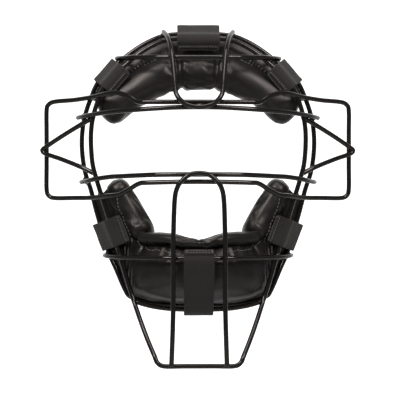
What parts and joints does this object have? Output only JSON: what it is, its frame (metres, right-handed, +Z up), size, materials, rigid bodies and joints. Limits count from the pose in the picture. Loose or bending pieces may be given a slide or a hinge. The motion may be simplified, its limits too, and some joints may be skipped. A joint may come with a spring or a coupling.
{
  "type": "catchers mask",
  "caption": "Welded wire face cage with ear guards and throat guard, padded crown and chin, held by webbing straps that unfold.",
  "frame": {"origin": "centre of the plane where the forehead pad rests on the wearer, at eye height", "axes": "+Z up, +Y towards the wearer, so the cage faces -Y; +X is the mask's right side as seen from the front"},
  "size_m": [0.289, 0.0837, 0.3029],
  "materials": {
    "cage_wire": "gloss",
    "vinyl": "satin",
    "foam": "matte",
    "webbing": "matte",
    "hook_tape": "matte",
    "loop_tape": "matte"
  },
  "bodies": {
    "mask": {"rear_ring": "cage_wire", "front_ring": "cage_wire", "window_loop": "cage_wire", "brow_bar": "cage_wire", "cheek_bar": "cage_wire", "chin_bar": "cage_wire", "crown_bar": "cage_wire", "bottom_arc": "cage_wire", "crown_u_bar": "cage_wire", "nose_arch": "cage_wire", "ear_brace_left": "cage_wire", "ear_brace_right": "cage_wire", "crown_cover_centre": "vinyl", "crown_cover_left": "vinyl", "crown_cover_right": "vinyl", "crown_foam_centre": "foam", "crown_foam_left": "foam", "crown_foam_right": "foam", "crown_flange": "vinyl", "cheek_cover_left": "vinyl", "cheek_cover_right": "vinyl", "cheek_foam_left": "foam", "cheek_foam_right": "foam", "cheek_flange_left": "vinyl", "cheek_flange_right": "vinyl", "chin_cup": "vinyl", "chin_lip": "vinyl", "anchor_crown": "webbing", "loop_crown": "loop_tape", "anchor_brow_left": "webbing", "loop_brow_left": "loop_tape", "anchor_brow_right": "webbing", "loop_brow_right": "loop_tape", "anchor_cheek_left": "webbing", "loop_cheek_left": "loop_tape", "anchor_cheek_right": "webbing", "loop_cheek_right": "loop_tape", "anchor_chin": "webbing", "loop_chin": "loop_tape"},
    "flap_crown": {"leaf_crown": "webbing", "hook_crown": "hook_tape"},
    "flap_brow_right": {"leaf_brow_right": "webbing", "hook_brow_right": "hook_tape"},
    "flap_brow_left": {"leaf_brow_left": "webbing", "hook_brow_left": "hook_tape"},
    "flap_cheek_right": {"leaf_cheek_right": "webbing", "hook_cheek_right": "hook_tape"},
    "flap_cheek_left": {"leaf_cheek_left": "webbing", "hook_cheek_left": "hook_tape"},
    "flap_chin": {"leaf_chin": "webbing", "hook_chin": "hook_tape"}
  },
  "joints": [
    {"name": "crown_flap_hinge", "type": "hinge", "parent": "mask", "child": "flap_crown", "pos_m": [0, -0.0163, 0.1071], "axis": [-1, 0, 0], "range_deg": [0, 100]},
    {"name": "brow_right_flap_hinge", "type": "hinge", "parent": "mask", "child": "flap_brow_right", "pos_m": [0.08554, -0.0163, 0.06778], "axis": [-0.6561, 0, 0.7547], "range_deg": [0, 100]},
    {"name": "brow_left_flap_hinge", "type": "hinge", "parent": "mask", "child": "flap_brow_left", "pos_m": [-0.08554, -0.0163, 0.06778], "axis": [-0.6561, 0, -0.7547], "range_deg": [0, 100]},
    {"name": "cheek_right_flap_hinge", "type": "hinge", "parent": "mask", "child": "flap_cheek_right", "pos_m": [0.09019, -0.0113, -0.08428], "axis": [0.3584, 0, 0.9336], "range_deg": [0, 100]},
    {"name": "cheek_left_flap_hinge", "type": "hinge", "parent": "mask", "child": "flap_cheek_left", "pos_m": [-0.09019, -0.0113, -0.08428], "axis": [0.3584, 0, -0.9336], "range_deg": [0, 100]},
    {"name": "chin_flap_hinge", "type": "hinge", "parent": "mask", "child": "flap_chin", "pos_m": [0, -0.038, -0.1516], "axis": [1, 0, 0], "range_deg": [0, 80]}
  ]
}
